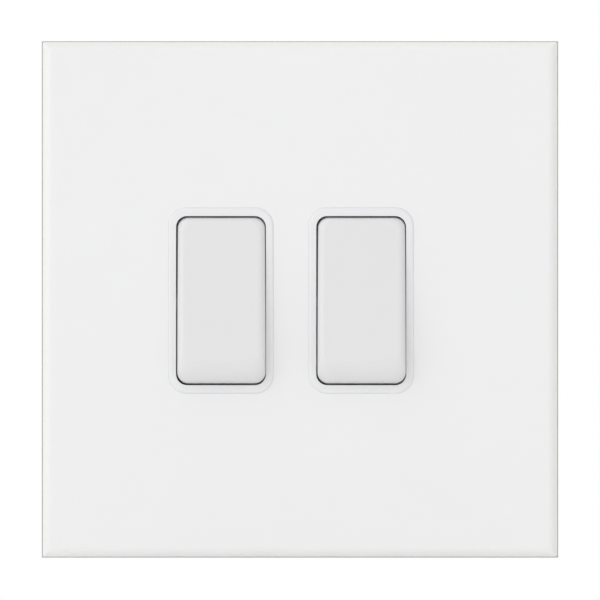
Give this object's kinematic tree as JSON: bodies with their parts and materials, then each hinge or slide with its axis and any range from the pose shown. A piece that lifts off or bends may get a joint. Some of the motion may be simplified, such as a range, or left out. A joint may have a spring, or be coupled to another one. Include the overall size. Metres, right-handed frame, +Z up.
{
  "type": "rocker wall switch",
  "caption": "Square flush-mounted light switch with narrow rockers in raised collars, a pull-off glass faceplate, a steel yoke and see-saw contact modules.",
  "frame": {"origin": "on the wall surface, at the centre of the faceplate", "axes": "+X to the right as seen from the room, +Y into the wall, +Z up"},
  "size_m": [0.09, 0.0373, 0.09],
  "materials": {
    "white_glass": "polished, painted white on the back",
    "rocker_white": "gloss",
    "white_plastic": "semi-gloss",
    "cream_plastic": "matt moulded",
    "grey_plastic": "satin moulded",
    "black_nylon": "matt",
    "white_foam": "closed-cell foam",
    "zinc_steel": "bright zinc plated",
    "steel": "nickel plated",
    "spring_steel": "drawn wire",
    "brass": "machined",
    "copper": "rolled copper strip",
    "silver": "bright silver"
  },
  "bodies": {
    "switch_body": {"glass_panel": "white_glass", "bonding_tape": "white_foam", "carrier_frame": "grey_plastic", "mounting_yoke": "zinc_steel", "earth_terminal": "brass", "earth_screw": "steel", "left_fixing_screw": "steel", "right_fixing_screw": "steel", "left_housing": "white_plastic", "left_base_cover": "cream_plastic", "left_upper_terminal": "brass", "left_lower_terminal": "brass", "left_common_terminal": "brass", "left_upper_clamp_screw": "steel", "left_lower_clamp_screw": "steel", "left_common_clamp_screw": "steel", "left_upper_fixed_contact": "silver", "left_lower_fixed_contact": "silver", "right_housing": "white_plastic", "right_base_cover": "cream_plastic", "right_upper_terminal": "brass", "right_lower_terminal": "brass", "right_common_terminal": "brass", "right_upper_clamp_screw": "steel", "right_lower_clamp_screw": "steel", "right_common_clamp_screw": "steel", "right_upper_fixed_contact": "silver", "right_lower_fixed_contact": "silver"},
    "left_rocker": {"left_rocker": "rocker_white", "left_plunger_spring": "spring_steel"},
    "left_plunger": {"left_plunger": "black_nylon"},
    "left_blade": {"left_contact_blade": "copper", "left_upper_moving_contact": "silver", "left_lower_moving_contact": "silver"},
    "right_rocker": {"right_rocker": "rocker_white", "right_plunger_spring": "spring_steel"},
    "right_plunger": {"right_plunger": "black_nylon"},
    "right_blade": {"right_contact_blade": "copper", "right_upper_moving_contact": "silver", "right_lower_moving_contact": "silver"}
  },
  "joints": [
    {"name": "left_rocker_hinge", "type": "hinge", "parent": "switch_body", "child": "left_rocker", "pos_m": [-0.01375, -0.0065, -0.0002], "axis": [1, 0, 0], "range_deg": [0, 12]},
    {"name": "left_plunger_slide", "type": "slide", "parent": "left_rocker", "child": "left_plunger", "axis": [0, -0.9945, 0.1045], "range_m": [0, 0.0012], "stiffness_N_per_m": 1000, "springref_m": -0.0015, "deforming": ["left_plunger_spring"]},
    {"name": "left_blade_hinge", "type": "hinge", "parent": "switch_body", "child": "left_blade", "pos_m": [-0.01375, 0.00624, -0.0002], "axis": [1, 0, 0], "range_deg": [-18, 0]},
    {"name": "right_rocker_hinge", "type": "hinge", "parent": "switch_body", "child": "right_rocker", "pos_m": [0.01065, -0.0065, -0.0002], "axis": [1, 0, 0], "range_deg": [0, 12]},
    {"name": "right_plunger_slide", "type": "slide", "parent": "right_rocker", "child": "right_plunger", "axis": [0, -0.9945, 0.1045], "range_m": [0, 0.0012], "stiffness_N_per_m": 1000, "springref_m": -0.0015, "deforming": ["right_plunger_spring"]},
    {"name": "right_blade_hinge", "type": "hinge", "parent": "switch_body", "child": "right_blade", "pos_m": [0.01065, 0.00624, -0.0002], "axis": [1, 0, 0], "range_deg": [-18, 0]}
  ],
  "couplings": [
    {"joint": "left_blade_hinge", "follows": "left_rocker_hinge", "ratio": -1.5},
    {"joint": "right_blade_hinge", "follows": "right_rocker_hinge", "ratio": -1.5}
  ]
}
